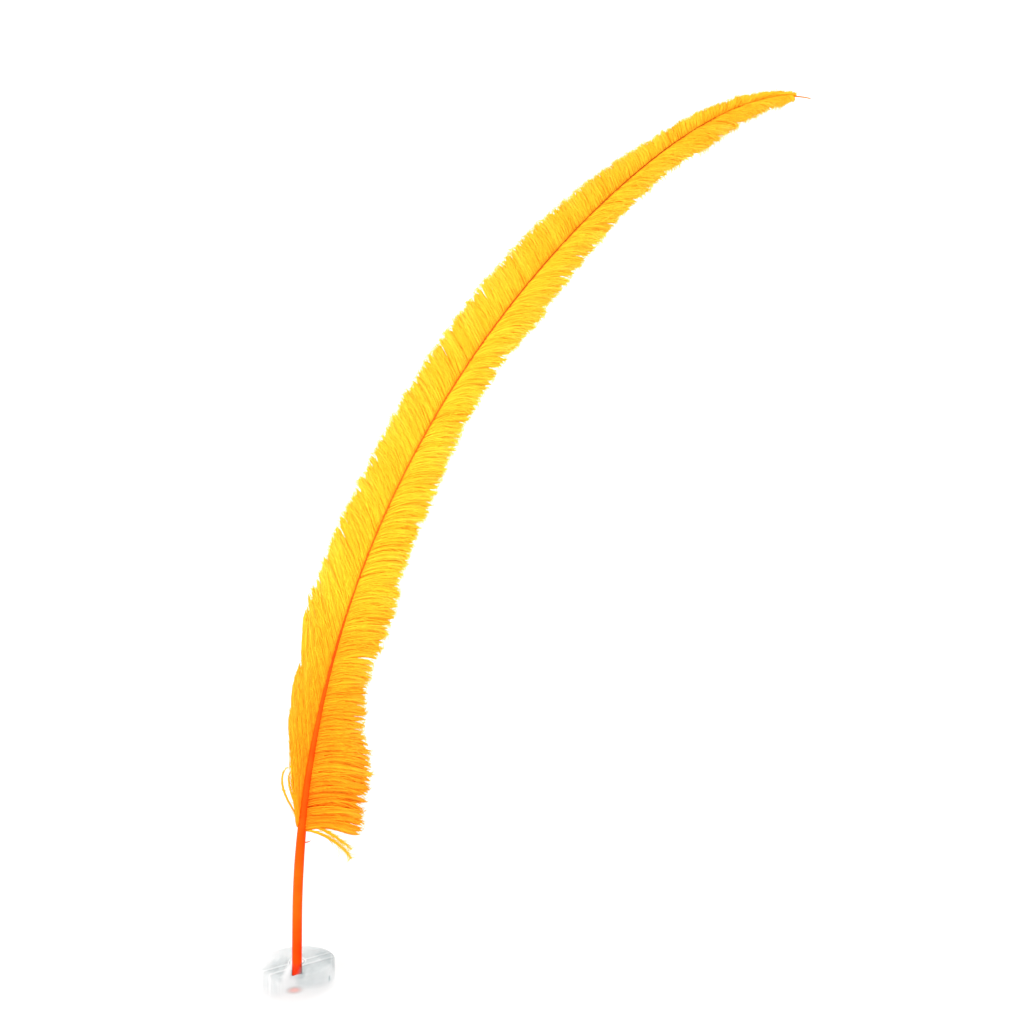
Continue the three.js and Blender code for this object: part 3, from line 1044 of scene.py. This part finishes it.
class PLUME_OT_barrel(bpy.types.Operator):
    """Builds the hollow barrel of the quill, with its slanted cut"""

    bl_idname = "plume.barrel"
    bl_label = "Quill barrel"

    SIDES = 48

    def execute(self, context):
        line = ShaftLine(settings().shaft)
        s = np.linspace(0, BARREL_SHARE * line.shape.length, 60)
        s = np.concatenate([s[:-1], s[-1:] - EDGE, s[-1:]])
        outer, place, around = shaft_rings(line, s, line.radius(s), self.SIDES, slope=CUT_SLOPE)
        inner, _, _ = shaft_rings(line, s, line.radius(s) - BARREL_WALL, self.SIDES, slope=CUT_SLOPE)
        # The inner edge of the cut lies in the same plane as the outer one.
        inner[0] += (line.centre(s[1]) - line.centre(s[0])) / (s[1] - s[0]) * CUT_SLOPE * BARREL_WALL
        rings = np.concatenate([outer, inner[::-1]])
        share = place / line.shape.length
        made = make_object(
            "barrel", rings, [looped_faces(len(rings), self.SIDES)], keratin(),
            uv=wrap_uv(len(rings) + 1, self.SIDES),
            values={
                "along": np.concatenate([share, share[::-1]]),
                "around": np.concatenate([around, around]),
            },
        )
        settle(made, "quill", "quill_keratin", "quill_barrel")
        return {"FINISHED"}


class PLUME_OT_shaft(bpy.types.Operator):
    """Builds the five stretches of the shaft above the barrel"""

    bl_idname = "plume.shaft"
    bl_label = "Shaft"

    SIDES = 20
    RING_PITCH = 1.6 * MM
    NODES = [
        ["shaft_base"], ["shaft_lower"], ["shaft_middle"], ["shaft_upper"],
        ["shaft_crown", "shaft_tip"],
    ]

    def execute(self, context):
        line = ShaftLine(settings().shaft)
        stations = [line.place_of(name) for name in FLEX_JOINTS]
        cuts = [BARREL_SHARE * line.shape.length + 0.05 * MM]
        cuts += [(low + high) / 2 for low, high in zip(stations[:-1], stations[1:])]
        cuts += [line.shape.length]
        for index, (start, stop) in enumerate(zip(cuts[:-1], cuts[1:])):
            made = self.stretch(line, f"shaft_stretch_{index + 1}", start, stop)
            bend_at(made, line, FLEX_JOINTS[index])
            settle(made, None, "quill_keratin" if index == 0 else "shaft_keratin", *self.NODES[index])
        return {"FINISHED"}

    def stretch(self, line, name, start, stop):
        """One stretch, which holds one flex joint. A fan closes each of its ends."""
        sides = self.SIDES
        s = np.linspace(start, stop, int((stop - start) / self.RING_PITCH))
        s = np.concatenate([s[:1], s[:1] + EDGE, s[1:-1], s[-1:] - EDGE, s[-1:]])
        flat = np.interp(s / line.shape.length, [BARREL_SHARE, 0.25], [1.0, line.shape.flatness])
        points, place, around = shaft_rings(line, s, line.radius(s), sides, flat)
        count = len(s)
        column = np.arange(sides)
        after = (column + 1) % sides
        low_fan = np.stack([after, column, np.full(sides, count * sides)], -1)
        last = (count - 1) * sides
        high_fan = np.stack([last + column, last + after, np.full(sides, count * sides + 1)], -1)
        fan_u = np.stack([column, column + 1, column + 0.5], -1) / sides
        fan_v = np.broadcast_to([0.0, 0.0, 0.004], fan_u.shape)
        fans = [np.stack([fan_u, low + fan_v], -1).reshape(-1, 2) for low in (0.0, 0.99)]
        ends = np.array([start, stop])
        return make_object(
            name,
            np.concatenate([points.reshape(-1, 3), line.centre(ends)]),
            [grid_faces(count, sides), low_fan, high_fan],
            keratin(),
            uv=np.concatenate([wrap_uv(count, sides), *fans]),
            values={
                "along": np.concatenate([place.ravel(), ends]) / line.shape.length,
                "around": np.concatenate([around.ravel(), [0.5, 0.5]]),
            },
        )


class PLUME_OT_stub(bpy.types.Operator):
    """Builds the stub of a barb that broke off the barrel"""

    bl_idname = "plume.stub"
    bl_label = "Broken stub"

    BELOW_TOP = 5.5 * MM
    LENGTH, RISE, WIDTH = 4.2 * MM, 1.6 * MM, 1.0 * MM

    def execute(self, context):
        line = ShaftLine(settings().shaft)
        place = BARREL_SHARE * line.shape.length - self.BELOW_TOP
        t = np.linspace(0, 1, 7)
        path = line.beside(place + self.RISE * t**2, line.radius(place) * 0.8 + self.LENGTH * t)
        path[:, 1] = -0.4 * MM * t
        width, tone, strip = np.array([self.WIDTH]), np.array([0.3]), np.array([0])
        mesh = join_strands(strand_mesh(path[None], width, tone, strip, 1, flat=0.8))
        mesh["values"]["along"] = np.full(len(mesh["points"]), 0.12)
        mesh["values"]["around"] = mesh["values"].pop("tone")
        made = make_object("broken_stub", material=keratin(), **mesh)
        settle(made, "quill", "quill_keratin", "barb_stub")
        return {"FINISHED"}


class PLUME_OT_vane(bpy.types.Operator):
    """Builds the locks of both vanes, each from its barbs and barbules"""

    bl_idname = "plume.vane"
    bl_label = "Vane"

    def execute(self, context):
        chosen = settings()
        line = ShaftLine(chosen.shaft)
        material = barb_material("dyed_barbs")
        number = 1
        for body, start, stop, locks in STAGES:
            for index in range(locks):
                edges = [start + (stop - start) * k / locks for k in (index, index + 1)]
                low, high = (edge * line.shape.length for edge in edges)
                for side in (LEFT, RIGHT):
                    self.lock(line, chosen.vane, material, side, number, low, high, body)
                number += 1
        return {"FINISHED"}

    def lock(self, line, vane, material, side, number, low, high, body):
        """One lock. Every other barb is a wide flat web, set back a little, and short barbs are
        narrower."""
        random = np.random.default_rng(vane.seed * 1000 + number * 2 + (side == RIGHT))
        paths, tones, strips = barb_paths(line, vane, side, low, high, random)
        fluff, fluff_tones, fluff_strips, places = fluff_paths(vane, paths, tones, strips, random)
        webbed = np.arange(len(paths)) % 2 == 0
        widths = np.where(webbed, vane.web_width, vane.barb_width)
        widths = widths * random.uniform(0.7, 1.2, len(paths))
        length = np.linalg.norm(np.diff(paths, axis=1), axis=2).sum(1)
        widths = widths * np.clip(length / FULL_LENGTH, 0.2, 1)
        widths = widths * np.interp(length / MM, [22, 34], [1, 1.3])
        paths[..., 1] += np.where(webbed, WEB_BACK, 0.0)[:, None]
        fluff_widths = vane.fluff_width * random.uniform(0.6, 1.3, len(fluff))
        flat, full = np.where(webbed, 0.1, 0.5), np.where(webbed, 10.0, 4.0)
        mesh = join_strands(
            strand_mesh(paths, widths, tones, strips, STRIPS, flat, full),
            strand_mesh(fluff, fluff_widths, fluff_tones, fluff_strips, STRIPS, along=places),
        )
        word = "left" if side == LEFT else "right"
        piece = make_object(f"{word}_barbs_{number:02d}", material=material, **mesh)
        flex = nearest_flex(line, (low + high) / 2)
        if flex and body in (JOINTS[flex]["parent"], JOINTS[flex]["child"]):
            bend_at(piece, line, flex)
            body = None
        slot = "amber_barbs" if number <= 4 else "yellow_barbs" if number <= 12 else "gold_barbs"
        settle(piece, body, slot, f"{word}_lock_{number:02d}")


class PLUME_OT_strays(bpy.types.Operator):
    """Builds the loose barbs at the top of the barrel"""

    bl_idname = "plume.strays"
    bl_label = "Stray barbs"

    def execute(self, context):
        chosen = settings()
        line = ShaftLine(chosen.shaft)
        material = barb_material("stray_barbs")
        for number, (name, (side, rows)) in enumerate(STRAYS.items()):
            random = np.random.default_rng(chosen.vane.seed * 100 + number)
            path = self.path(line, side, rows)
            place = np.linspace(0, 1, BARB_POINTS)[None]
            barb = sample(path, np.zeros((1, 1), int), place)
            width, copies, tone = STRAY_LOOKS[side]
            # The barbules come from copies of the one barb, so that they are as close as on a lock.
            fluff, tones, strips, places = fluff_paths(
                chosen.vane, np.repeat(path, copies, axis=0), np.full(copies, tone),
                np.arange(copies), random, shorter=0.06 * copies**0.9,
            )
            one = np.array([width]), np.array([tone]), np.array([0])
            thin = np.full(len(fluff), 0.3 * MM)
            mesh = join_strands(
                strand_mesh(barb, *one, STRIPS, flat=0.4, full=4.0),
                strand_mesh(fluff, thin, tones, strips, STRIPS, along=places),
            )
            made = make_object(f"{name}_barb", material=material, **mesh)
            settle(made, "quill", "stray_barbs", name)
        return {"FINISHED"}

    def path(self, line, side, rows):
        """The one polynomial through all points of a stray, by share of their number, in 24 points."""
        clear, height, depth = np.array(rows).T * MM
        s = BARREL_SHARE * line.shape.length + height
        knots = line.beside(s, side * (line.radius(s) + clear))
        knots[:, 1] = depth
        share = np.linspace(0, 1, len(rows))
        fit = [np.polyfit(share, knots[:, axis], len(rows) - 1) for axis in range(3)]
        return np.stack([np.polyval(row, np.linspace(0, 1, 24)) for row in fit], -1)[None]


OPERATORS = [
    PLUME_OT_stage, PLUME_OT_foot, PLUME_OT_sleeve, PLUME_OT_barrel, PLUME_OT_shaft, PLUME_OT_stub,
    PLUME_OT_vane, PLUME_OT_strays,
]


class PLUME_PT_panel(bpy.types.Panel):
    """Lists the operators in the sidebar"""

    bl_idname = "PLUME_PT_panel"
    bl_label = "Plume"
    bl_space_type = "VIEW_3D"
    bl_region_type = "UI"
    bl_category = "Plume"

    def draw(self, context):
        for operator in OPERATORS:
            self.layout.operator(operator.bl_idname)


CLASSES = [
    PlumeShaft, PlumeVane, PlumeColours, PlumeStudio, PlumeSettings, *OPERATORS, PLUME_PT_panel,
]


def register():
    for cls in CLASSES:
        bpy.utils.register_class(cls)
    bpy.types.Scene.plume = bpy.props.PointerProperty(type=PlumeSettings)


def unregister():
    del bpy.types.Scene.plume
    for cls in reversed(CLASSES):
        bpy.utils.unregister_class(cls)


def main():
    register()
    for operator in OPERATORS:
        group, name = operator.bl_idname.split(".")
        getattr(getattr(bpy.ops, group), name)()


if __name__ == "__main__":
    main()
